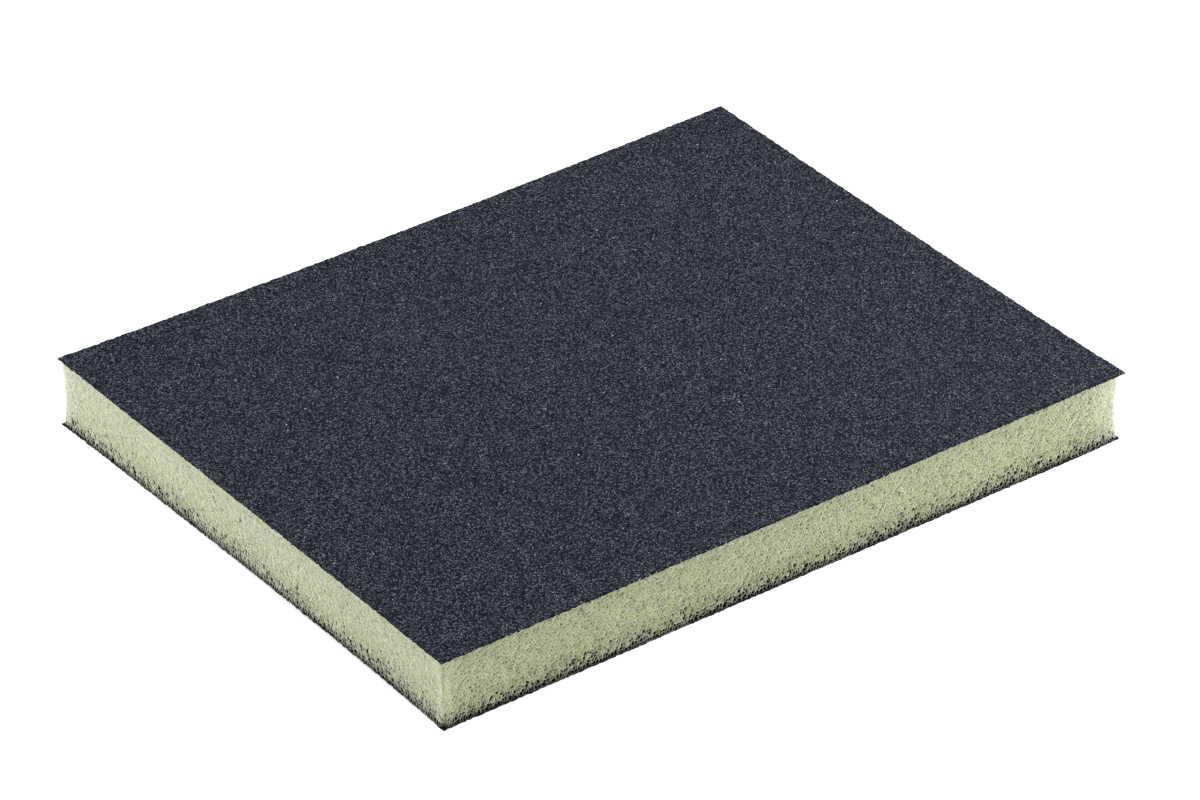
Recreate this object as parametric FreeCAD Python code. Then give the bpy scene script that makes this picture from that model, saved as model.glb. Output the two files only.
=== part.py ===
"""Double-sided abrasive foam pad: a flexible foam slab with a bonded abrasive face above and below.

Every face is laid down in three coats. A make coat wets the foam, a layer of mineral grit is spread
into it, and a size coat locks the grit down. The slab is knife-cut after coating, so all layers share
one outline whose sides bow slightly inwards, and the springy foam draws back to a waist between them.

Units are millimetres. X runs along the length, Y across the width, Z upwards. The origin is the middle
of the lower abrasive face.
"""
import FreeCAD, Part
import os

from FreeCAD import Vector

# Overall size of the pad, corner to corner.
LENGTH = 123.0
WIDTH = 96.0
THICKNESS = 11.5

# Thickness of each coat of an abrasive face.
MAKE_COAT = 0.10
GRIT_LAYER = 0.12
SIZE_COAT = 0.08

# How far the middle of each cut edge lies inside the straight line between its corners.
FRONT_BOW = 0.05
BACK_BOW = 0.85
END_BOW = 0.25

# How far the foam draws back from the cut edge, next to the coats and halfway up.
FOAM_SETBACK = 0.25
WAIST_SETBACK = 0.85

# Number of outlines that the waisted side of the foam is carried through, from bottom to top.
WAIST_SECTIONS = 5


def cut_outline(height, setback=0.0):
    """Closed wire of the cut edge at one height: four shallow arcs, each bowed towards the middle."""
    half_length = LENGTH / 2 - setback
    half_width = WIDTH / 2 - setback
    front_left = Vector(-half_length, -half_width, height)
    front_right = Vector(half_length, -half_width, height)
    back_right = Vector(half_length, half_width, height)
    back_left = Vector(-half_length, half_width, height)
    front_middle = Vector(0, -half_width + FRONT_BOW, height)
    right_middle = Vector(half_length - END_BOW, 0, height)
    back_middle = Vector(0, half_width - BACK_BOW, height)
    left_middle = Vector(-half_length + END_BOW, 0, height)
    arcs = [
        Part.Arc(front_left, front_middle, front_right),
        Part.Arc(front_right, right_middle, back_right),
        Part.Arc(back_right, back_middle, back_left),
        Part.Arc(back_left, left_middle, front_left),
    ]
    return Part.Wire([arc.toShape() for arc in arcs])


def coat(bottom, thickness):
    """Flat sheet with the cut outline, standing on the height `bottom`."""
    return Part.Face(cut_outline(bottom)).extrude(Vector(0, 0, thickness))


def foam_slab(bottom, top):
    """Foam between two heights, whose sides follow a shallow parabola inwards to a waist halfway up."""
    sections = []
    for index in range(WAIST_SECTIONS):
        share = index / (WAIST_SECTIONS - 1)
        hollow = 4 * share * (1 - share)
        setback = FOAM_SETBACK + (WAIST_SETBACK - FOAM_SETBACK) * hollow
        sections.append(cut_outline(bottom + share * (top - bottom), setback))
    return Part.makeLoft(sections, True)


def abrasive_face(name, foam_surface, direction):
    """Three coats stacked outwards from the foam. `direction` is +1 above the foam and -1 below it."""
    layers = {}
    inner = foam_surface
    for layer, thickness in (
        ("make_coat", MAKE_COAT),
        ("grit_layer", GRIT_LAYER),
        ("size_coat", SIZE_COAT),
    ):
        outer = inner + direction * thickness
        layers[name + "_" + layer] = coat(min(inner, outer), thickness)
        inner = outer
    return layers


def build_pad():
    """All the layers of the pad, by name."""
    face_thickness = MAKE_COAT + GRIT_LAYER + SIZE_COAT
    foam_bottom = face_thickness
    foam_top = THICKNESS - face_thickness
    pad = {"foam_core": foam_slab(foam_bottom, foam_top)}
    pad.update(abrasive_face("lower", foam_bottom, -1))
    pad.update(abrasive_face("upper", foam_top, 1))
    return pad


def main():
    """Write one STEP file for each layer."""
    os.makedirs("parts", exist_ok=True)
    for name, solid in build_pad().items():
        bounds = solid.BoundBox
        print(
            name,
            "valid" if solid.isValid() else "NOT VALID",
            "volume %.1f mm3" % solid.Volume,
            "z %.2f to %.2f mm" % (bounds.ZMin, bounds.ZMax),
        )
        solid.exportStep("parts/" + name + ".step")


main()
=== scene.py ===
"""Looks of a double-sided abrasive foam pad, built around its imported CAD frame.

The pad is a slab of pale open-celled foam with an abrasive face bonded above and below. Each face is three
layers: a make coat that wets the foam, the grit crystals set in it, and a size coat that locks them down.
Every mesh is worked out with numpy as whole arrays, in metres, in the frame of the CAD model.
"""

import logging
import math
from dataclasses import dataclass, field
from enum import Enum

import bpy
import numpy as np
from mathutils import Matrix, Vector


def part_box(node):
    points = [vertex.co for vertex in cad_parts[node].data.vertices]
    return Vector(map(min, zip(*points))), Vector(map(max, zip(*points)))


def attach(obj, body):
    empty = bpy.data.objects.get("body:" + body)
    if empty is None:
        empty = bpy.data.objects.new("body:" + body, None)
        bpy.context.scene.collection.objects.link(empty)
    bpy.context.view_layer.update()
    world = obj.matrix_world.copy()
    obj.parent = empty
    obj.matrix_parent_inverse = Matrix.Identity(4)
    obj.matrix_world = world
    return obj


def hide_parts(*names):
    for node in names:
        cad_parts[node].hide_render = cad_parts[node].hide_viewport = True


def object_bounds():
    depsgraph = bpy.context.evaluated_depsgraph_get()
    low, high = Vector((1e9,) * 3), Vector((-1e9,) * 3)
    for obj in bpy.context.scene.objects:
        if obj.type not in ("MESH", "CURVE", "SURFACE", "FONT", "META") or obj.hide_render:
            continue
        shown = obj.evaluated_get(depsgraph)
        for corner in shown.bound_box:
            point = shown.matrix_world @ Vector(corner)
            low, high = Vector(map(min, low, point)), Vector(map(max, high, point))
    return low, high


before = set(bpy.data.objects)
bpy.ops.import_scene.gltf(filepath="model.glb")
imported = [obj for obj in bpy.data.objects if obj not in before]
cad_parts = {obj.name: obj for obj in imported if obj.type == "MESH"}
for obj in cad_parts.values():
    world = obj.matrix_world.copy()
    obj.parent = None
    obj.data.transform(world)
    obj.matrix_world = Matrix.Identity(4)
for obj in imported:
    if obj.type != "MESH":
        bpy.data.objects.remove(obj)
cad_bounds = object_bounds()

MM = 0.001
BODY = "root"
# The one map that each piece carries, laid out so that its finish can be baked without waste.
MAP_NAME = "OFBake"
MAP_MARGIN = 0.004
# A flat cap's inner rings, as shares of its outline, so that it can follow the bend of the pad.
CAP_RINGS = (0.92, 0.84, 0.76, 0.66, 0.5)

log = logging.getLogger("sanding_pad")

Colour = tuple[float, float, float]
Place = tuple[float, float, float]
Span = tuple[float, float]
Array = np.ndarray
Arrays = tuple[Array, ...]
Chance = np.random.Generator
Socket = bpy.types.NodeSocket


class Side(Enum):
    """The two broad faces of the pad, by the way their coats build up from the foam."""

    UPPER = 1
    LOWER = -1

    @property
    def prefix(self) -> str:
        """First word of the names of this face's nodes."""
        return self.name.lower()


class CellValue(Enum):
    """What a pattern of random cells hands to a finish: each cell's own colour, or how far its centre is."""

    COLOUR = "Color"
    DISTANCE = "Distance"


# ----- Noise and meshes -----


def drift(across: Array, along: Array, cells: tuple[int, int], rng: Chance) -> Array:
    """Smooth noise between -1 and 1 that closes on itself in the first direction.

    A point takes the mean of its four neighbours on a random lattice, weighted by 3t^2 - 2t^3.

    Args:
        across: Places in the closed direction, where 1 is once round.
        along: Places in the open direction, from 0 to 1.
        cells: Number of lattice cells in each direction.
        rng: Source of the lattice values.

    Returns:
        Noise of the shape that the places broadcast to.
    """
    lattice = rng.uniform(-1.0, 1.0, (cells[0], cells[1] + 2))
    place_a, place_b = np.broadcast_arrays(across * cells[0], np.clip(along, 0.0, 1.0) * cells[1])
    low_a, low_b = np.floor(place_a).astype(int), np.floor(place_b).astype(int)
    part_a, part_b = place_a - low_a, place_b - low_b
    weight_a, weight_b = part_a**2 * (3 - 2 * part_a), part_b**2 * (3 - 2 * part_b)
    here, there = low_a % cells[0], (low_a + 1) % cells[0]
    near = lattice[here, low_b] * (1 - weight_a) + lattice[there, low_b] * weight_a
    far = lattice[here, low_b + 1] * (1 - weight_a) + lattice[there, low_b + 1] * weight_a
    return near * (1 - weight_b) + far * weight_b


def ease(value: Array, start: float, end: float) -> Array:
    """0 before start, 1 after end, and 3t^2 - 2t^3 between them."""
    share = np.clip((value - start) / (end - start), 0.0, 1.0)
    return share * share * (3 - 2 * share)


def unit(vectors: Array) -> Array:
    """Rows of numbers, each scaled to a length of 1."""
    return vectors / np.linalg.norm(vectors, axis=1)[:, None]


def join(*arrays: Array) -> Array:
    """All the numbers of some arrays, one array after another."""
    return np.concatenate([array.ravel() for array in arrays])


def pair(first: Array, second: Array) -> Array:
    """Two arrays as pairs, in a new last axis."""
    return np.stack(np.broadcast_arrays(first, second), -1)


@dataclass
class Patchwork:
    """A closed mesh gathered patch by patch: points, faces of any number of corners, and their map places."""

    points: Array
    faces: list[Array] = field(default_factory=list)
    places: list[Array] = field(default_factory=list)
    masks: dict[str, Array] = field(default_factory=dict)

    def add(self, faces: Array, places: Array) -> None:
        """Adds faces with one count of corners, anticlockwise seen from outside, and their map places."""
        self.faces.append(faces.reshape(-1, faces.shape[-1]))
        self.places.append(np.broadcast_to(places, faces.shape + (2,)).reshape(-1, faces.shape[-1], 2))

    def close(self, ring: Array, centre: Span, scale: float) -> None:
        """Closes a loop with rings of quads that shrink towards the middle, and a fan of triangles there.

        Args:
            ring: Indices of the loop, anticlockwise seen from outside.
            centre: Map place of the fan's middle.
            scale: Map units in a metre of the fan.
        """
        outer = self.points[ring]
        for share in CAP_RINGS:
            inner = len(self.points) + np.arange(len(ring))
            self.points = np.concatenate([self.points, outer * (share, share, 1.0)])
            band = np.stack([ring, np.roll(ring, -1), np.roll(inner, -1), inner], -1)
            self.add(band, self.points[band, :2] * scale + centre)
            ring = inner
        middle = len(self.points)
        self.points = np.concatenate([self.points, [(0.0, 0.0, outer[:, 2].mean())]])
        fan = np.stack([ring, np.roll(ring, -1), np.full(len(ring), middle)], -1)
        self.add(fan, self.points[fan, :2] * scale + centre)

    def turn_inside_out(self) -> None:
        """Reverses every face, for a mesh that was mirrored."""
        self.faces = [faces[:, ::-1] for faces in self.faces]
        self.places = [places[:, ::-1] for places in self.places]

    def to_object(self, name: str, finish: bpy.types.Material, smooth: bool) -> bpy.types.Object:
        """Makes the Blender object.

        Args:
            name: Name of the piece.
            finish: Material of the whole piece.
            smooth: True for rounded shading, False for facets.

        Returns:
            The object, linked to the scene, standing at the origin.
        """
        mesh = bpy.data.meshes.new(name)
        corners = np.concatenate([faces.ravel() for faces in self.faces]).astype(np.int32)
        sizes = np.concatenate([np.full(len(faces), faces.shape[1]) for faces in self.faces])
        starts = np.concatenate([[0], np.cumsum(sizes)[:-1]]).astype(np.int32)
        mesh.vertices.add(len(self.points))
        mesh.vertices.foreach_set("co", self.points.astype(np.float32).ravel())
        mesh.loops.add(len(corners))
        mesh.loops.foreach_set("vertex_index", corners)
        mesh.polygons.add(len(sizes))
        mesh.polygons.foreach_set("loop_start", starts)
        mesh.polygons.foreach_set("use_smooth", np.full(len(sizes), smooth))
        mesh.update(calc_edges=True)
        layer = mesh.uv_layers.new(name=MAP_NAME)
        layer.data.foreach_set("uv", np.concatenate([p.ravel() for p in self.places]).astype(np.float32))
        for mask, values in self.masks.items():
            attribute = mesh.attributes.new(mask, "FLOAT", "POINT")
            spare = np.zeros(len(self.points) - values.size)
            attribute.data.foreach_set("value", np.concatenate([values.ravel(), spare]).astype(np.float32))
        mesh.materials.append(finish)
        piece = bpy.data.objects.new(name, mesh)
        bpy.context.scene.collection.objects.link(piece)
        return piece


# ----- The cut edge -----


@dataclass(frozen=True)
class Path:
    """A closed path: distances along it, points and outward normals, with the first repeated at the end."""

    distance: Array
    points: Array
    normals: Array

    @property
    def girth(self) -> float:
        """Distance once round."""
        return self.distance[-1]

    def read(self, along: Array, values: Array) -> Array:
        """Points or normals at some distances along the path, stacked in the last axis."""
        wrapped = np.mod(along, self.girth)
        return np.stack([np.interp(wrapped, self.distance, values[:, axis]) for axis in (0, 1)], -1)


@dataclass(frozen=True)
class CutOutline:
    """Outline that the knife leaves: a rectangle whose sides bow slightly inwards between sharp corners."""

    length: float
    width: float
    front_bow: float = 0.05 * MM
    back_bow: float = 0.85 * MM
    end_bow: float = 0.25 * MM
    side_samples: int = 240
    corner_samples: int = 9

    @property
    def half(self) -> Array:
        """Half the length and half the width."""
        return np.array([self.length / 2, self.width / 2])

    def sheet(self, across: Array, along: Array) -> Array:
        """Carries the unit square onto the outline, whose sides are parabolas as deep as their bows.

        Args:
            across: Share of the length, from 0 at the left end.
            along: Share of the width, from 0 at the front.

        Returns:
            X and Y of every point, in pairs.
        """
        half_length, half_width = self.half
        hollow_x, hollow_y = 4 * across * (1 - across), 4 * along * (1 - along)
        x = (2 * across - 1) * (half_length - self.end_bow * hollow_y)
        front, back = -half_width + self.front_bow * hollow_x, half_width - self.back_bow * hollow_x
        return pair(x, front + (back - front) * along)

    def path(self, corner_radius: float) -> Path:
        """The outline as a path, anticlockwise seen from above, starting at the front left.

        Args:
            corner_radius: Radius that the four corners are rounded to.

        Returns:
            The path.
        """
        share_x, share_y = corner_radius / self.length, corner_radius / self.width
        run_x = np.linspace(share_x, 1 - share_x, self.side_samples)
        run_y = np.linspace(share_y, 1 - share_y, self.side_samples)
        none, full = np.zeros(self.side_samples), np.ones(self.side_samples)
        sides = [
            self.sheet(run_x, none),
            self.sheet(full, run_y),
            self.sheet(run_x[::-1], full),
            self.sheet(none, run_y[::-1]),
        ]
        pieces = []
        for index, side in enumerate(sides):
            following = sides[(index + 1) % 4]
            turn = np.linspace(0, math.pi / 2, self.corner_samples + 2)[1:-1, None]
            centre = self.corner_centre(index, corner_radius)
            arc = centre + (side[-1] - centre) * np.cos(turn) + (following[0] - centre) * np.sin(turn)
            pieces += [side, arc]
        points = np.concatenate(pieces)
        points = np.concatenate([points, points[:1]])
        steps = np.diff(points, axis=0)
        distance = np.concatenate([[0.0], np.cumsum(np.linalg.norm(steps, axis=1))])
        heading = unit(np.roll(steps, 1, axis=0)) + unit(steps)
        heading = unit(np.concatenate([heading, heading[:1]]))
        return Path(distance, points, pair(heading[:, 1], -heading[:, 0]))

    def corner_centre(self, index: int, radius: float) -> Array:
        """Centre of a corner's rounding, counted from the front right corner anticlockwise."""
        return np.array(((1, -1), (1, 1), (-1, 1), (-1, -1))[index]) * (self.half - radius)


@dataclass(frozen=True)
class Lie:
    """How the limp pad lies: the lower face arches off the floor at the left end, the upper face curls up."""

    outline: CutOutline
    thickness: float
    lean: Span = (0.08 * MM, -0.28 * MM)
    arch: float = 0.48 * MM
    arch_reach: float = 30.0 * MM
    curl: float = 0.22 * MM
    curl_reach: float = 16.0 * MM
    front_right_pull: Span = (-0.22 * MM, 0.20 * MM)
    back_left_pull: Span = (0.16 * MM, 0.10 * MM)
    pull_reach: float = 7.0 * MM

    def bend(self, points: Array) -> Array:
        """Moves points up by the arch, least at the upper face, and by the curl, least at the lower face.

        The arch is s^2(1 - s) of the way along the left end from the back, scaled to 1 at its highest. The
        curl runs along the back side and the right end. Both fade within their reach. The lower face also
        stands off sideways by the lean, and two corners are pulled out along their diagonals.

        Args:
            points: Points of the flat pad.

        Returns:
            The points of the pad as it lies.
        """
        x, y, z = points.T
        half_length, half_width = self.outline.half
        along = np.clip((half_width - y) / (2 * half_width), 0, 1)
        rise = 6.75 * along**2 * (1 - along) * ease(-x, half_length - self.arch_reach, half_length)
        to_edge = np.minimum(half_length - x, half_width - y)
        curl = ease(to_edge, self.curl_reach, 0.0) * np.clip(z / self.thickness, 0, 1)
        lift = self.arch * rise * (1 - z / self.thickness) + self.curl * curl
        off = 1 - z / self.thickness
        moved_x, moved_y = x + self.lean[0] * off, y + self.lean[1] * off
        for sign, (below, above) in ((1, self.front_right_pull), (-1, self.back_left_pull)):
            away = np.hypot(x - sign * half_length, y + sign * half_width)
            pull = (below * off + above * (1 - off)) * ease(away, self.pull_reach, 0.0)
            moved_x, moved_y = moved_x + sign * pull, moved_y - sign * pull
        return np.stack([moved_x, moved_y, z + lift], -1)


# ----- Finishes -----


class NodeSheet:
    """A material's node tree, with one short method for each kind of node that the finishes use."""

    def __init__(self, name: str) -> None:
        """Starts a material that holds only a Principled shader and its output."""
        self.material = bpy.data.materials.new(name)
        self.material.use_nodes = True
        self.tree = self.material.node_tree
        self.shader = next(node for node in self.tree.nodes if node.type == "BSDF_PRINCIPLED")
        self.object_place = self.tree.nodes.new("ShaderNodeTexCoord").outputs["Object"]

    def set(self, socket: str, value: object) -> None:
        """Sets a plain value on the shader's own socket."""
        self.shader.inputs[socket].default_value = value

    def feed(self, socket: str, source: Socket) -> None:
        """Links a node's output to one of the shader's sockets."""
        self.tree.links.new(source, self.shader.inputs[socket])

    def add(self, kind: str, output: str | int, inputs: dict[str | int, object], **settings: str) -> Socket:
        """Adds a node.

        Args:
            kind: Blender's name for the node, after the word ShaderNode.
            output: The output to hand back.
            inputs: What each socket gets: another node's output or a plain value.
            settings: The node's own settings.

        Returns:
            The node's output.
        """
        node = self.tree.nodes.new("ShaderNode" + kind)
        for name, value in settings.items():
            setattr(node, name, value)
        for socket, value in inputs.items():
            if isinstance(value, Socket):
                self.tree.links.new(value, node.inputs[socket])
            else:
                node.inputs[socket].default_value = value
        return node.outputs[output]

    def noise(self, scale: float, detail: float = 2.0, roughness: float = 0.5) -> Socket:
        """Cloudy noise from 0 to 1, with `scale` waves in a metre."""
        inputs = {"Vector": self.object_place, "Scale": scale, "Detail": detail, "Roughness": roughness}
        return self.add("TexNoise", "Fac", inputs)

    def cells(self, scale: float, value: CellValue) -> Socket:
        """Random cells, `scale` of them in a metre."""
        return self.add("TexVoronoi", value.value, {"Vector": self.object_place, "Scale": scale})

    def mask(self, name: str) -> Socket:
        """A value that the mesh carries at its points."""
        return self.add("Attribute", "Fac", {}, attribute_name=name)

    def channel(self, colour: Socket, output: str) -> Socket:
        """One channel of a colour: Red, Green or Blue."""
        return self.add("SeparateColor", output, {0: colour})

    def ramp(self, source: Socket, stops: list[tuple[float, Colour]]) -> Socket:
        """Colours set out along a value, blended in straight lines between the stops."""
        node = self.tree.nodes.new("ShaderNodeValToRGB")
        elements = node.color_ramp.elements
        for _ in stops[2:]:
            elements.new(0.5)
        for element, (place, colour) in zip(elements, stops):
            element.position = place
            element.color = (*colour, 1.0)
        self.tree.links.new(source, node.inputs["Fac"])
        return node.outputs["Color"]

    def spread(self, source: Socket, low: float, high: float) -> Socket:
        """A value from 0 to 1 carried to the range from low to high."""
        return self.add("MapRange", "Result", {"To Min": low, "To Max": high, "Value": source})

    def scale_colour(self, colour: Socket, amount: Socket) -> Socket:
        """A colour made darker or lighter by a value."""
        return self.add("VectorMath", "Vector", {0: colour, "Scale": amount}, operation="SCALE")

    def blend(self, share: Socket, base: Socket, top: Colour) -> Socket:
        """The base colour, covered by the top colour by a share from 0 to 1."""
        return self.add("Mix", 2, {0: share, 6: base, 7: (*top, 1.0)}, data_type="RGBA")

    def bump(self, height: Socket, distance: float, strength: float) -> None:
        """Tilts the surface by a height pattern that is `distance` metres from low to high."""
        inputs = {"Distance": distance, "Strength": strength, "Height": height}
        self.feed("Normal", self.add("Bump", "Normal", inputs))


@dataclass(frozen=True)
class FoamFinish:
    """Pale yellow-green polyurethane foam, a little see-through, with dark resin drawn into some pores."""

    pale: Colour = (0.500, 0.527, 0.322)
    greenish: Colour = (0.466, 0.503, 0.300)
    # Painted shade: pores, and bands next to the coats, are darkened towards this colour.
    hollow: Colour = (0.09, 0.105, 0.03)
    resin: Colour = (0.006, 0.007, 0.005)
    # Paler upright corners: partly frayed cell walls, partly painted glow of light shining through the foam.
    frayed: Colour = (0.72, 0.74, 0.65)
    scatter_share: float = 0.50
    scatter_depth: float = 6.5 * MM

    def material(self) -> bpy.types.Material:
        """The foam's material, reading masks for painted shade, resin, paler corners (partly fray, partly
        painted glow) and light shining through.
        """
        sheet = NodeSheet("foam")
        patches = sheet.ramp(sheet.noise(110.0, 3.0), [(0.35, self.greenish), (0.65, self.pale)])
        grain = sheet.spread(sheet.noise(3200.0, 2.0, 0.7), 0.88, 1.12)
        body = sheet.scale_colour(patches, grain)
        # Painted shade in the pores, and a painted shadow under the upper coat.
        body = sheet.blend(sheet.mask("hollow"), body, self.hollow)
        # Paler corners, partly fray and partly painted glow.
        body = sheet.blend(sheet.mask("fray"), body, self.frayed)
        body = sheet.blend(sheet.mask("resin"), body, self.resin)
        sheet.feed("Base Color", body)
        sheet.feed("Roughness", sheet.spread(sheet.noise(900.0), 0.78, 0.98))
        sheet.set("Specular IOR Level", 0.04)
        sheet.feed("Subsurface Weight", sheet.spread(sheet.mask("lit_through"), 0.0, self.scatter_share))
        sheet.set("Subsurface Radius", (1.0, 1.0, 0.95))
        sheet.set("Subsurface Scale", self.scatter_depth)
        sheet.bump(sheet.noise(5200.0, 2.0), 0.03 * MM, 0.5)
        return sheet.material


@dataclass(frozen=True)
class SizeCoatFinish:
    """Charcoal blue resin drawn tight over fine grit, with flecks where crystals come through."""

    gap: Colour = (0.0, 0.001, 0.003)
    film: Colour = (0.004, 0.006, 0.014)
    covered_grain: Colour = (0.025, 0.031, 0.049)
    fleck: Colour = (0.186, 0.197, 0.227)
    edge: Colour = (0.004, 0.005, 0.005)
    grain_scale: float = 7000.0
    relief: float = 0.06 * MM

    def material(self) -> bpy.types.Material:
        """The size coat's material, reading the mask edge."""
        sheet = NodeSheet("size_coat")
        grains = sheet.cells(self.grain_scale, CellValue.COLOUR)
        speckle = sheet.ramp(
            sheet.channel(grains, "Red"),
            [(0.25, self.gap), (0.50, self.film), (0.80, self.covered_grain), (1.0, self.fleck)],
        )
        mottle = sheet.spread(sheet.noise(420.0, 4.0, 0.65), 0.88, 1.12)
        face = sheet.scale_colour(speckle, mottle)
        sheet.feed("Base Color", sheet.blend(sheet.mask("edge"), face, self.edge))
        sheet.feed("Roughness", sheet.spread(sheet.channel(grains, "Green"), 0.34, 0.72))
        relief = sheet.cells(self.grain_scale, CellValue.DISTANCE)
        sheet.bump(relief, self.relief, 0.7)
        sheet.set("Specular IOR Level", 0.04)
        return sheet.material


@dataclass(frozen=True)
class GritFinish:
    """Silicon carbide crystals: dark, sharp and glassy, with a thin veil of resin, and a few painted
    near-white as glints.
    """

    dull: Colour = (0.001, 0.002, 0.005)
    common: Colour = (0.013, 0.018, 0.030)
    bright: Colour = (0.34, 0.35, 0.38)
    # Painted glint: the rarest crystals get a near-white colour that stands in for a highlight.
    painted_glint: Colour = (0.85, 0.86, 0.88)
    tones: tuple[float, ...] = (0.0, 0.45, 0.88, 0.96, 0.985)

    def material(self) -> bpy.types.Material:
        """The crystals' material, reading a random value for each crystal, whose highest values give painted
        glints.
        """
        sheet = NodeSheet("grit")
        tone = sheet.mask("tone")
        stops = zip(self.tones, (self.dull, self.common, self.common, self.bright, self.painted_glint))
        colour = sheet.ramp(tone, list(stops))
        veil = sheet.spread(sheet.noise(7000.0, 1.0), 0.8, 1.2)
        sheet.feed("Base Color", sheet.scale_colour(colour, veil))
        sheet.feed("Roughness", sheet.spread(tone, 0.6, 0.28))
        sheet.set("Specular IOR Level", 0.20)
        return sheet.material


@dataclass(frozen=True)
class MakeCoatFinish:
    """Near-black resin that has soaked into the cut foam."""

    dark: Colour = (0.001, 0.001, 0.001)
    light: Colour = (0.012, 0.013, 0.010)

    def material(self) -> bpy.types.Material:
        """The make coat's material."""
        sheet = NodeSheet("make_coat")
        cloud = sheet.noise(2600.0, 3.0, 0.6)
        sheet.feed("Base Color", sheet.ramp(cloud, [(0.35, self.dark), (0.7, self.light)]))
        sheet.feed("Roughness", sheet.spread(sheet.noise(1500.0), 0.45, 0.8))
        sheet.set("Specular IOR Level", 0.03)
        sheet.bump(cloud, 0.05 * MM, 0.6)
        return sheet.material


@dataclass(frozen=True)
class FloorFinish:
    """Matt white light table, which glows a little so that shadows stay soft."""

    white: Colour = (0.60, 0.60, 0.60)
    glow: float = 0.60

    def material(self) -> bpy.types.Material:
        """The floor's material."""
        sheet = NodeSheet("studio_floor")
        sheet.set("Base Color", (*self.white, 1.0))
        sheet.set("Roughness", 0.9)
        sheet.set("Specular IOR Level", 0.1)
        sheet.set("Emission Color", (1.0, 1.0, 1.0, 1.0))
        sheet.set("Emission Strength", self.glow)
        return sheet.material


# ----- The foam -----


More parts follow.
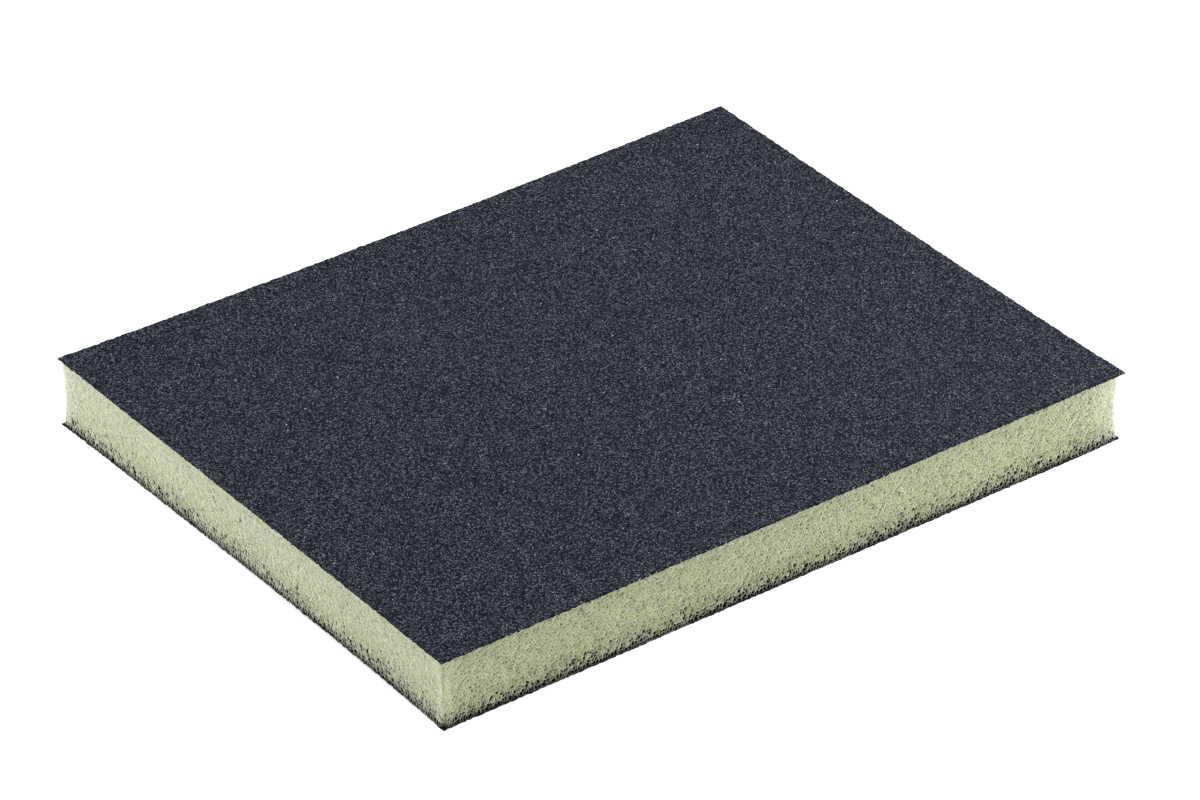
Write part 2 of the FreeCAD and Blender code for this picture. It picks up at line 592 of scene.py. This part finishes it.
@dataclass
class FoamCore:
    """Foam slab whose four cut sides are a sheet of sliced cells, drawn in to a waist between the coats."""

    outline: CutOutline
    lie: Lie
    bottom: float
    top: float
    cell_width: float = 0.49 * MM
    corner_radius: float = 1.00 * MM
    setback_bottom: float = 0.08 * MM
    setback_top: float = 0.14 * MM
    waist: float = 0.55 * MM
    cell_depth: Span = (0.25 * MM, 0.62 * MM)
    opening: Span = (0.50, 0.84)
    jitter: float = 0.12
    unevenness: float = 0.54
    overhang: float = 0.03 * MM
    front_right_setback: float = 0.45 * MM
    whisker_share: float = 0.08
    whisker_length: Span = (0.04 * MM, 0.15 * MM)
    wall_swell: float = 0.15
    wall_unevenness: float = 0.06 * MM
    waver: float = 0.07 * MM
    corner_loss: float = 0.35
    # Paler upright corners, by corner: partly fray, partly painted glow of light through the corners at the
    # two ends.
    fray: tuple[Span, Span] = ((0.10, 0.50), (0.42, 0.20))
    fray_reach: float = 5.6 * MM
    resin_rise: float = 1.58 * MM
    left_resin: float = 0.17
    resin_chance: Span = (1.3, 0.3)
    resin_slope: float = 3.5
    resin_opening: float = 0.94
    resin_gain: float = 0.4
    stain: Span = (0.70, 0.9 * MM)
    # Darkening towards the lower coat, then painted shadow under the upper coat's overhang; the share after
    # them scales the painted shade in the pores.
    shade: Span = (0.13, 0.11)
    hollow_share: float = 0.97
    map_strips: int = 6
    seed: int = 11

    def build(self) -> bpy.types.Object:
        """Builds the slab as one closed mesh.

        The side is a honeycomb on a grid of distance round the pad and height, where the cell walls meet.
        Every cell adds a ring of six points, drawn towards its middle and inwards, and the bottom of its
        pit.

        Returns:
            The foam's object.
        """
        rng = np.random.default_rng(self.seed)
        path = self.outline.path(self.corner_radius)
        girth, height = path.girth, self.top - self.bottom
        columns = int(round(girth / self.cell_width))
        rows = int(round(height / (self.cell_width * math.sqrt(3) / 2)))
        pitch, row_height = girth / (2 * columns), height / rows

        # Meeting points of the walls: a brick grid, pulled up and down in turn by a sixth of a row so that
        # the bricks become hexagons, then shifted at random. The lowest and highest rows stay level.
        column = np.arange(2 * columns)[:, None]
        row = np.arange(rows + 1)[None, :]
        inside = ((row > 0) & (row < rows)).astype(float)
        zigzag = np.where((column - row) % 2 == 0, 1.0, -1.0) * row_height / 6
        shape = (2 * columns, rows + 1)
        round_share, height_share = column / (2 * columns), row / rows
        swell = drift(round_share, height_share, (420, 10), rng) * self.wall_swell * self.cell_width
        wall_s = rng.uniform(-1, 1, shape) * self.jitter * self.cell_width + swell
        wall_z = row * row_height + zigzag * inside
        wall_z = wall_z + inside * rng.uniform(-1, 1, shape) * self.jitter * row_height
        wall_z = wall_z - (row == 0) * rng.uniform(0, self.overhang, shape)
        whisker = (rng.random(shape) < self.whisker_share) * rng.uniform(*self.whisker_length, shape)
        wall_in = rng.uniform(-0.5, 0.5, shape) * self.wall_unevenness - whisker * inside

        # Six corners of every cell, anticlockwise from its lower left.
        cell = np.arange(columns)[:, None, None]
        level = np.arange(rows)[None, :, None]
        corner_i = 2 * cell + level % 2 + np.array([0, 1, 2, 2, 1, 0])
        corner_j = level + np.array([0, 0, 0, 1, 1, 1])
        wrapped = corner_i % (2 * columns)
        self.crowd((wall_s, wall_z), (wrapped, corner_j), inside, rng)
        corner_s = corner_i * pitch + wall_s[wrapped, corner_j]
        corner_z = wall_z[wrapped, corner_j]
        middle_s, middle_z = corner_s.mean(-1, keepdims=True), corner_z.mean(-1, keepdims=True)

        # Each cell's hollow: how open it is, how deep, and whether resin has reached it.
        cells = (columns, rows, 1)
        openness = rng.random(cells)
        open_share = self.opening[0] + (self.opening[1] - self.opening[0]) * openness
        depth = self.cell_depth[0] + (self.cell_depth[1] - self.cell_depth[0]) * openness**2
        resin = self.resin_in_cells(middle_s / girth, middle_z, rng)
        at_corner = self.near_corner(middle_s, path)
        resin *= 1 - self.resin_gain * at_corner
        open_share += (self.resin_opening - open_share) * resin
        depth *= 1 + self.resin_gain * resin
        depth *= 1 - self.corner_loss * at_corner
        ring_s = middle_s + (corner_s - middle_s) * open_share
        ring_z = middle_z + (corner_z - middle_z) * open_share
        ring_in = depth * rng.uniform(0.25, 0.5, (columns, rows, 6))
        pit_s = middle_s + rng.uniform(-0.18, 0.18, cells) * self.cell_width
        pit_z = middle_z + rng.uniform(-0.18, 0.18, cells) * self.cell_width

        all_s = join(column * pitch + wall_s, ring_s, pit_s)
        all_z = join(wall_z, ring_z, pit_z)
        mesh = Patchwork(self.place(all_s, all_z, join(wall_in, ring_in, depth), path, rng))

        wall_count, ring_count = wall_s.size, ring_s.size
        wall_index = wrapped * (rows + 1) + corner_j
        ring_index = wall_count + np.arange(ring_count).reshape(columns, rows, 6)
        pit_index = wall_count + ring_count + np.arange(columns * rows).reshape(cells)
        grid = (girth, height, columns)
        map_wall = self.map_places(corner_s, corner_z, cell, grid)
        map_ring = self.map_places(ring_s, ring_z, cell, grid)
        map_pit = self.map_places(pit_s, pit_z, cell, grid)
        after = [1, 2, 3, 4, 5, 0]
        mesh.add(
            np.stack([wall_index, wall_index[..., after], ring_index[..., after], ring_index], -1),
            np.stack([map_wall, map_wall[..., after, :], map_ring[..., after, :], map_ring], -2),
        )
        pit_six = np.broadcast_to(pit_index, ring_index.shape)
        map_pit_six = np.broadcast_to(map_pit, map_ring.shape)
        mesh.add(
            np.stack([ring_index, ring_index[..., after], pit_six], -1),
            np.stack([map_ring, map_ring[..., after, :], map_pit_six], -2),
        )
        self.add_masks(mesh, all_z, (wall_in, ring_in, depth), resin, rng)
        self.add_caps(mesh, columns, rows)
        mesh.points = self.lie.bend(mesh.points)
        return mesh.to_object("foam_core_cells", FoamFinish().material(), smooth=True)

    def crowd(self, walls: Arrays, corners: Arrays, inside: Array, rng: Chance) -> None:
        """Makes the cells unequal: each shifts, swells or shrinks, and pushes its corners by a third.

        Args:
            walls: Offsets round the pad, and heights, of the points where walls meet. They are changed.
            corners: Indices of the six corners of every cell in both directions of the grid.
            inside: 1 for the rows of points that may move up and down.
            rng: Source of the pushes.
        """
        cells = np.broadcast_shapes(*(index.shape for index in corners))
        shift = rng.uniform(-1, 1, (2, cells[0], cells[1], 1)) * self.unevenness * self.cell_width
        swelling = rng.uniform(-1, 1, (cells[0], cells[1], 1)) * self.unevenness * self.cell_width
        directions = np.array([[-0.87, 0.0, 0.87, 0.87, 0.0, -0.87], [-0.5, -1.0, -0.5, 0.5, 1.0, 0.5]])
        for axis, offsets in enumerate(walls):
            push = np.zeros_like(offsets)
            np.add.at(push, corners, (shift[axis] + swelling * directions[axis]) / 3)
            offsets += push * (1.0 if axis == 0 else inside)

    def near_corner(self, along: Array, path: Path) -> Array:
        """1 within 0.8 mm of an upright corner and 0 from 2.4 mm away, by distance round the pad."""
        away = self.outline.half - np.abs(path.read(along, path.points))
        return ease(away.max(-1), 2.4 * MM, 0.8 * MM)

    def resin_in_cells(self, share: Array, height: Array, rng: Chance) -> Array:
        """How full of dark resin each cell is.

        The chance falls with height as e^(-(height / rise)^1.5), where the rise drifts and is higher on the
        left end, and some resin has soaked down from the upper coat. A near draw leaves a cell part full.

        Args:
            share: Place of each cell round the pad.
            height: Height of each cell above the foam's bottom.
            rng: Source of the chance.

        Returns:
            A value from 0 to 1 for each cell.
        """
        on_left = ease(share, 0.80, 0.86)
        wave = drift(share, height * 0, (60, 1), rng)
        rise = self.resin_rise * (1 + 0.2 * wave + self.left_resin * on_left)
        below = self.resin_chance[0] * np.exp(-((np.maximum(height, 0) / rise) ** 1.5))
        above = self.resin_chance[1] * ease(self.top - self.bottom - height, 0.6 * MM, 0.0)
        return np.clip((np.maximum(below, above) - rng.random(share.shape)) * self.resin_slope, 0, 1)

    def place(self, along: Array, height: Array, inwards: Array, path: Path, rng: Chance) -> Array:
        """Carries points from the unrolled side to the pad.

        A point moves inwards from the outline by its own depth, by the setback, which runs evenly from the
        lower to the upper coat, and by the waist times 4t(1 - t), less at the corners. The front right
        corner leans inwards.

        Args:
            along: Distance round the pad.
            height: Height above the foam's bottom.
            inwards: Depth of the point below the cut surface.
            path: The outline.
            rng: Source of the slow waver of the cut.

        Returns:
            The points in the row frame.
        """
        share = height / (self.top - self.bottom)
        waver = drift(np.mod(along, path.girth) / path.girth, share, (90, 2), rng) * self.waver
        setback = self.setback_bottom + (self.setback_top - self.setback_bottom) * share
        slack = 1 - self.corner_loss * self.near_corner(along, path)
        total = inwards + setback + self.waist * slack * 4 * share * (1 - share) + waver
        plan = path.read(along, path.points)
        to_corner = np.hypot(*(plan - self.outline.half * (1, -1)).T)
        total = total + self.front_right_setback * share * ease(to_corner, 6 * MM, 0.5 * MM)
        plan = plan - path.read(along, path.normals) * total[:, None]
        return np.concatenate([plan, (self.bottom + height)[:, None]], -1)

    def map_places(self, along: Array, height: Array, cell: Array, grid: tuple[float, float, int]) -> Array:
        """Map places of points on the side, which is cut into level strips, one above another.

        Args:
            along: Distance round the pad.
            height: Height above the foam's bottom.
            cell: Column of the cell that each point is drawn for, which decides its strip.
            grid: Distance once round the pad, height of the side, and number of cells round the pad.

        Returns:
            The map places.
        """
        girth, full, columns = grid
        in_strip = -(-columns // self.map_strips)
        strip = cell // in_strip
        start = strip * in_strip * (girth / columns)
        width = (in_strip + 2) * (girth / columns)
        across = MAP_MARGIN + (1 - 2 * MAP_MARGIN) * (along - start + self.cell_width) / width
        up = (strip + 0.06 + 0.88 * height / full) / (self.map_strips + 1)
        return pair(across, up)

    def add_caps(self, mesh: Patchwork, columns: int, rows: int) -> None:
        """Closes the slab below and above, drawn small in the map's spare strip."""
        loop = np.arange(2 * columns) * (rows + 1)
        mesh.close(loop[::-1], (0.25, 0.93), 0.1 / self.outline.length)
        mesh.close(loop + rows, (0.75, 0.93), 0.1 / self.outline.length)

    def add_masks(self, mesh: Patchwork, height: Array, depths: Arrays, resin: Array, rng: Chance) -> None:
        """Gives the mesh the four masks that its finish reads.

        The first mask is painted shade: the depth, fainter on the left end where more light falls, plus a
        painted shadow under the upper coat and a darkening towards the lower coat. The resin mask is the
        cell's resin, fainter on the ring, plus a stain next to the lower coat. Light shines through what
        neither darkens. The corner mask, with a strength for each upright corner, is partly fray and partly
        painted glow of light shining through.

        Args:
            mesh: The slab.
            height: Height of each point.
            depths: Depths of the wall, ring and hollow points.
            resin: Resin in each cell.
            rng: Source of the small differences.
        """
        wall_in, ring_in, pit_in = depths
        deepest = self.cell_depth[1]
        walls = np.zeros(wall_in.size)
        x, y = mesh.points[:, 0], mesh.points[:, 1]
        half_length, half_width = self.outline.half
        at_left = ease(-x, half_length - 4 * MM, half_length - 2 * MM)
        # Painted shade in the pores, deepest at the bottom of each pit.
        hollow = np.clip(join(walls, ring_in / deepest, 0.35 + 0.65 * pit_in / deepest), 0, 1)
        hollow = hollow * self.hollow_share
        # Painted shadow under the upper coat's overhang, and a darkening towards the lower coat.
        upper_shade = self.shade[1] * ease(height / (self.top - self.bottom), 0.58, 0.92)
        shade = upper_shade + self.shade[0] * ease(height, 4.4 * MM, 1.4 * MM)
        # The painted shade is fainter on the left end, where more light falls.
        mesh.masks["hollow"] = hollow * (1 - 0.5 * at_left) + shade
        stain = ease(height, self.stain[1], 0.0) * self.stain[0]
        ring_resin = np.broadcast_to(resin, ring_in.shape) * rng.uniform(0.6, 1.0, ring_in.shape)
        stained = np.clip(join(walls, ring_resin, resin) + stain * rng.uniform(0.4, 1.0, stain.shape), 0, 1)
        mesh.masks["resin"] = stained
        mesh.masks["lit_through"] = (1 - stained) * (1 - 0.95 * mesh.masks["hollow"])
        # Paler upright corners, each with its strength: partly fray, partly painted glow of light shining
        # through.
        off_corner = np.maximum(half_length - np.abs(x), half_width - np.abs(y))
        strength = np.array(self.fray)[(y >= 0).astype(int), (x >= 0).astype(int)]
        fray = strength * ease(off_corner, self.fray_reach, 0.4 * MM)
        mesh.masks["fray"] = fray * rng.uniform(0.65, 1.0, off_corner.shape)


# ----- The abrasive faces -----


@dataclass
class AbrasiveFace:
    """Make coat, grit and size coat of one face, built upwards from the foam and then set on their side."""

    side: Side
    outline: CutOutline
    lie: Lie
    foam_surface: float
    make_top: float
    grit_top: float
    size_top: float
    film_pitch: float = 0.362 * MM
    rim_pitch: float = 0.12 * MM
    crystal_count: int = 41000
    edge_crystal_count: int = 5200
    crystal_size: Span = (0.08 * MM, 0.16 * MM)
    crystal_stretch: Span = (0.55, 1.15)
    edge_inset: Span = (0.01 * MM, 0.16 * MM)
    tip_depth: float = 0.05 * MM
    edge_tip_depth: float = 0.22 * MM
    wave_lift: Span = (0.012 * MM, 0.010 * MM)
    grain_lift: float = 0.042 * MM
    map_strips: int = 8
    # Each of these is for the upper face and for the lower face.
    make_recess: Span = (0.02 * MM, 0.14 * MM)
    make_lip: Span = (0.2 * MM, 0.04 * MM)
    size_recess: Span = (0.03 * MM, 0.07 * MM)
    crystal_inset: Span = (0.0, 0.03 * MM)
    edge_tone: Span = (1.0, 0.90)
    edge_shade: Span = (0.0, 1.0)
    seed: int = 5

    def own(self, pair: Span) -> float:
        """This face's own value of a pair."""
        return pair[int(self.side is Side.LOWER)]

    def generator(self, step: int) -> Chance:
        """A separate source of chance for each layer of each face."""
        return np.random.default_rng((self.seed, step, self.side.value + 1))

    def plan_places(self, points: Array) -> Array:
        """Map places of points seen from above, with the pad's length across the map."""
        return (MAP_MARGIN + 0.97 * (points[:, :2] + self.outline.half)) / self.outline.length

    def finish(self, mesh: Patchwork, name: str, look: bpy.types.Material, smooth: bool) -> bpy.types.Object:
        """Sets a layer on its side of the foam, turned over for the lower face, and makes its object.

        Args:
            mesh: The layer, whose third coordinate is height above the foam.
            name: Name of the piece, after the name of the face.
            look: Material of the layer.
            smooth: True for rounded shading, False for facets.

        Returns:
            The layer's object.
        """
        mesh.points[:, 2] = self.foam_surface + self.side.value * mesh.points[:, 2]
        mesh.points = self.lie.bend(mesh.points)
        if self.side is Side.LOWER:
            mesh.turn_inside_out()
        return mesh.to_object(self.side.prefix + name, look, smooth)

    def build_make_coat(self) -> bpy.types.Object:
        """Builds the resin film on the foam.

        A six-point profile is carried round the outline: in under the film, out to the ragged edge at three
        heights, and in again on top. The lower lip reaches down where resin has run into the cut cells.

        Returns:
            The make coat's object.
        """
        rng = self.generator(1)
        path = self.outline.path(0.12 * MM)
        columns = int(path.girth / self.rim_pitch)
        along = np.arange(columns) * path.girth / columns
        share = along[:, None] / path.girth
        ragged = rng.normal(0.0, 0.035, (columns, 1)) * MM
        slow = drift(share, np.zeros(1), (700, 1), rng) * 0.05 * MM
        lip = np.abs(drift(share, np.zeros(1), (900, 1), rng)) * self.own(self.make_lip)
        inwards = np.array([0.75, 0.45, 0.06, 0.0, 0.05, 0.6]) * MM
        heights = np.array([0.0, 0.0, 0.0, 0.5, 1.0, 1.0]) * self.make_top
        drop = np.array([0.0, 0.6, 1.0, 0.2, 0.0, 0.0])
        total = inwards[None, :] + (ragged + slow) * (inwards < 0.3 * MM) + self.own(self.make_recess)
        plan, outwards = path.read(along, path.points), path.read(along, path.normals)
        plan = plan[:, None] - outwards[:, None] * total[..., None]
        z = np.broadcast_to(heights[None, :] - lip * drop[None, :], total.shape)
        rim = np.concatenate([plan, z[..., None]], -1)
        profile = rim.shape[1]
        mesh = Patchwork(rim.reshape(-1, 3))
        column, tier = np.arange(columns)[:, None], np.arange(profile - 1)[None, :]
        here, there = column * profile + tier, (column + 1) % columns * profile + tier
        strips, margin = self.map_strips, 0.1
        in_strip = -(-columns // strips)
        strip = column // in_strip

        def places(offset: int, step: int) -> Array:
            """Map places of the strip's corners."""
            across = (column - strip * in_strip + offset) / (in_strip + 1)
            up = (strip + margin + (1 - 2 * margin) * (tier + step) / (profile - 1)) / (strips + 1)
            return pair(across, up)

        corners = [places(0, 0), places(1, 0), places(1, 1), places(0, 1)]
        mesh.add(np.stack([here, there, there + 1, here + 1], -1), np.stack(corners, -2))
        loop = np.arange(columns) * profile
        mesh.close(loop[::-1], (0.25, 0.95), 0.08 / self.outline.length)
        mesh.close(loop + profile - 1, (0.75, 0.95), 0.08 / self.outline.length)
        return self.finish(mesh, "_make_coat_film", MakeCoatFinish().material(), smooth=True)

    def build_size_coat(self) -> bpy.types.Object:
        """Builds the resin film over the grit.

        The film is a height over a grid that fills the outline: waves of 2 mm and 6 mm, plus a random lift
        at every point for the grain below. Its edge falls to a flat underside.

        Returns:
            The size coat's object.
        """
        rng = self.generator(2)
        count_x = int(round(self.outline.length / self.film_pitch)) + 1
        count_y = int(round(self.outline.width / self.film_pitch)) + 1
        across = np.linspace(0, 1, count_x)[:, None]
        along = np.linspace(0, 1, count_y)[None, :]
        plan = self.outline.sheet(*np.broadcast_arrays(across, along))
        plan = plan + rng.uniform(-0.3, 0.3, plan.shape) * self.film_pitch
        plan = plan * (1 - self.own(self.size_recess) / self.outline.half)
        waves = drift(across, along, (60, 46), rng) * self.wave_lift[0]
        waves = waves + drift(across, along, (20, 16), rng) * self.wave_lift[1]
        grains = rng.random((count_x, count_y)) ** 2 * self.grain_lift
        low = self.grit_top - 0.01 * MM
        height = np.minimum(low + 0.02 * MM + waves + grains, self.size_top - 0.004 * MM)
        top = np.concatenate([plan, height[..., None]], -1)
        index = np.arange(count_x * count_y).reshape(count_x, count_y)
        rim = np.concatenate([index[:-1, 0], index[-1, :-1], index[:0:-1, -1], index[0, :0:-1]])
        flat = top.reshape(-1, 3)
        under = flat[rim] * (1, 1, 0) + (0, 0, self.make_top * 0.9)
        mesh = Patchwork(np.concatenate([flat, under]))
        places = self.plan_places(mesh.points)
        quads = np.stack([index[:-1, :-1], index[1:, :-1], index[1:, 1:], index[:-1, 1:]], -1)
        mesh.add(quads, places[quads])
        around = np.arange(len(rim))
        below = len(flat) + around
        walls = np.stack([below, np.roll(below, -1), np.roll(rim, -1), rim], -1)
        run, step = around / len(rim) * 0.96 + 0.02, 0.96 / len(rim)
        corners = [(run, 0.83), (run + step, 0.83), (run + step, 0.85), (run, 0.85)]
        mesh.add(walls, np.stack([pair(*corner) for corner in corners], -2))
        mesh.close(below[::-1], (0.5, 0.93), 0.1 / self.outline.length)
        on_edge = np.zeros(len(mesh.points))
        on_edge[rim] = 0.6 * self.own(self.edge_shade)
        on_edge[len(flat) :] = self.own(self.edge_shade)
        mesh.masks["edge"] = on_edge
        return self.finish(mesh, "_size_coat_film", SizeCoatFinish().material(), smooth=False)

    def build_grit(self) -> bpy.types.Object:
        """Builds the crystals that stand through the size coat.

        Every crystal is a tetrahedron, stretched by three random amounts, turned at random, and moved until
        its highest point is at its tip height. Some more stand along the cut edge.

        Returns:
            The crystals' object.
        """
        rng = self.generator(3)
        count = self.crystal_count + self.edge_crystal_count
        shares = rng.random((self.crystal_count, 2))
        margin = self.crystal_size[1] / self.outline.width
        plan = self.outline.sheet(*(margin + (1 - 2 * margin) * shares.T))
        path = self.outline.path(0.05 * MM)
        spot = rng.random(self.edge_crystal_count) * path.girth
        inset = rng.uniform(*self.edge_inset, (self.edge_crystal_count, 1)) + self.own(self.crystal_inset)
        edge = path.read(spot, path.points) - path.read(spot, path.normals) * inset
        centres = np.concatenate([plan, edge])
        base = np.array([[1, 1, 1], [1, -1, -1], [-1, 1, -1], [-1, -1, 1]]) / math.sqrt(3)
        size = rng.uniform(*self.crystal_size, (count, 1, 1))
        stretched = base[None] * rng.uniform(*self.crystal_stretch, (count, 1, 3)) * size
        w, x, y, z = unit(rng.normal(size=(count, 4))).T
        rows = (
            [1 - 2 * (y * y + z * z), 2 * (x * y - w * z), 2 * (x * z + w * y)],
            [2 * (x * y + w * z), 1 - 2 * (x * x + z * z), 2 * (y * z - w * x)],
            [2 * (x * z - w * y), 2 * (y * z + w * x), 1 - 2 * (x * x + y * y)],
        )
        rotation = np.stack([np.stack(row, -1) for row in rows], -2)
        shards = np.einsum("nij,nkj->nki", rotation, stretched)
        tips = self.size_top - rng.random(count) ** 1.5 * self.tip_depth
        tips[self.crystal_count :] -= rng.random(self.edge_crystal_count) * self.edge_tip_depth
        shards[..., :2] += centres[:, None, :]
        shards[..., 2] += (tips - shards[..., 2].max(1))[:, None]
        mesh = Patchwork(shards.reshape(-1, 3))
        faces = np.array([[0, 1, 2], [0, 3, 1], [0, 2, 3], [1, 3, 2]])
        every = np.arange(count)[:, None, None] * 4 + faces[None]
        mesh.add(every, self.plan_places(mesh.points)[every])
        # A random value for each crystal; in the finish its highest values become painted glints.
        tone = rng.random(count)
        tone[self.crystal_count :] *= self.own(self.edge_tone)
        mesh.masks["tone"] = np.repeat(tone, 4)
        return self.finish(mesh, "_grit_crystals", GritFinish().material(), smooth=False)

    def build(self) -> dict[str, bpy.types.Object]:
        """Builds the three layers, each under the name of the CAD node that it stands for."""
        make, grit, size = self.build_make_coat(), self.build_grit(), self.build_size_coat()
        layers = {"_make_coat": make, "_grit_layer": grit, "_size_coat": size}
        return {self.side.prefix + layer: piece for layer, piece in layers.items()}


# ----- The studio -----


def viewpoint(azimuth: float, elevation: float, distance: float, aim: Place, roll: float) -> Matrix:
    """World matrix of a camera or a light that looks at a place.

    Args:
        azimuth: Degrees round from the front.
        elevation: Degrees up.
        distance: Distance from the place.
        aim: The place.
        roll: Degrees that it is turned anticlockwise about the line of sight.

    Returns:
        The matrix.
    """
    turn, rise, spin = math.radians(azimuth), math.radians(elevation), math.radians(roll)
    back = np.array([math.sin(turn) * math.cos(rise), -math.cos(turn) * math.cos(rise), math.sin(rise)])
    right = np.cross(-back, (0.0, 0.0, 1.0))
    right /= np.linalg.norm(right)
    above = np.cross(right, -back)
    turned_right = right * math.cos(spin) + above * math.sin(spin)
    turned_above = above * math.cos(spin) - right * math.sin(spin)
    matrix = np.eye(4)
    matrix[:3, :3] = np.stack([turned_right, turned_above, back], -1)
    matrix[:3, 3] = np.array(aim) + back * distance
    return Matrix(matrix.tolist())


@dataclass(frozen=True)
class Softbox:
    """A square area light aimed at the pad."""

    name: str
    azimuth: float
    elevation: float
    distance: float
    size: float
    power: float

    def build(self) -> None:
        """Hangs the light on a sphere about the pad, facing the middle."""
        lamp = bpy.data.lights.new(self.name, "AREA")
        lamp.shape = "SQUARE"
        lamp.size = self.size
        lamp.energy = self.power
        light = bpy.data.objects.new(self.name, lamp)
        light.matrix_world = viewpoint(self.azimuth, self.elevation, self.distance, (0.0, 0.0, 0.0), 0.0)
        bpy.context.scene.collection.objects.link(light)


@dataclass
class Studio:
    """White floor, even white surroundings, five softboxes and a long lens."""

    floor_height: float
    floor_size: float = 6.0
    surround: float = 0.70
    azimuth: float = -37.107
    elevation: float = 32.928
    roll: float = 0.301
    distance: float = 943.56 * MM
    lens: float = 192.78
    sensor: float = 36.0
    aim: Place = (0.733 * MM, -1.401 * MM, 6.0 * MM)
    softboxes: tuple[Softbox, ...] = (
        Softbox("overhead_softbox", -70.0, 74.0, 1.2, 0.9, 3.6),
        Softbox("right_end_softbox", 100.0, 18.0, 0.5, 0.4, 1.25),
        Softbox("back_left_softbox", -160.0, 20.0, 0.5, 0.4, 0.2),
        Softbox("front_right_softbox", 55.0, 22.0, 0.32, 0.22, 0.66),
        Softbox("left_end_softbox", -136.0, 22.0, 0.32, 0.22, 0.40),
    )

    def build_floor(self) -> bpy.types.Object:
        """Lays the floor under the pad."""
        half = self.floor_size / 2
        corners = np.array([[-1, -1, 0], [1, -1, 0], [1, 1, 0], [-1, 1, 0]]) * half
        corners = corners + (0, 0, self.floor_height)
        mesh = Patchwork(corners)
        mesh.add(np.array([[0, 1, 2, 3]]), np.array([[[0, 0], [1, 0], [1, 1], [0, 1]]]))
        return mesh.to_object("studio_floor", FloorFinish().material(), smooth=False)

    def build_world(self) -> None:
        """Surrounds the pad with even white light."""
        world = bpy.data.worlds.new("studio")
        world.use_nodes = True
        background = world.node_tree.nodes["Background"]
        background.inputs["Color"].default_value = (1.0, 1.0, 1.0, 1.0)
        background.inputs["Strength"].default_value = self.surround
        bpy.context.scene.world = world

    def build_camera(self) -> None:
        """Sets up the camera on its long lens and makes it the scene's own."""
        camera = bpy.data.objects.new("camera", bpy.data.cameras.new("camera"))
        camera.data.sensor_width = self.sensor
        camera.data.lens = self.lens
        camera.data.clip_start = 0.05
        camera.matrix_world = viewpoint(self.azimuth, self.elevation, self.distance, self.aim, self.roll)
        bpy.context.scene.collection.objects.link(camera)
        bpy.context.scene.camera = camera

    def build(self) -> None:
        """Builds the whole studio."""
        self.build_camera()
        self.build_world()
        self.build_floor()
        for softbox in self.softboxes:
            softbox.build()
        bpy.context.scene.view_settings.view_transform = "Standard"


def main() -> None:
    """Builds the studio and the pad, ties each piece to its node, and reports it."""
    logging.basicConfig(level=logging.INFO, format="%(name)s: %(message)s")
    size_low, size_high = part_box("upper_size_coat")
    foam_low, foam_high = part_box("foam_core")
    outline = CutOutline(size_high.x - size_low.x, size_high.y - size_low.y)
    Studio(cad_bounds[0].z).build()

    lie = Lie(outline, size_high.z)
    foam = FoamCore(outline, lie, foam_low.z, foam_high.z).build()
    pieces = {"foam_core": foam}
    for side, surface in ((Side.UPPER, foam_high.z), (Side.LOWER, foam_low.z)):
        tops = []
        for layer in ("make_coat", "grit_layer", "size_coat"):
            low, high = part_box(side.prefix + "_" + layer)
            tops.append(max(abs(low.z - surface), abs(high.z - surface)))
        pieces.update(AbrasiveFace(side, outline, lie, surface, *tops).build())
    for node, piece in pieces.items():
        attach(piece, BODY)
        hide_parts(node)
        log.info("%s stands for %s with %d faces", piece.name, node, len(piece.data.polygons))


if __name__ == "__main__":
    main()
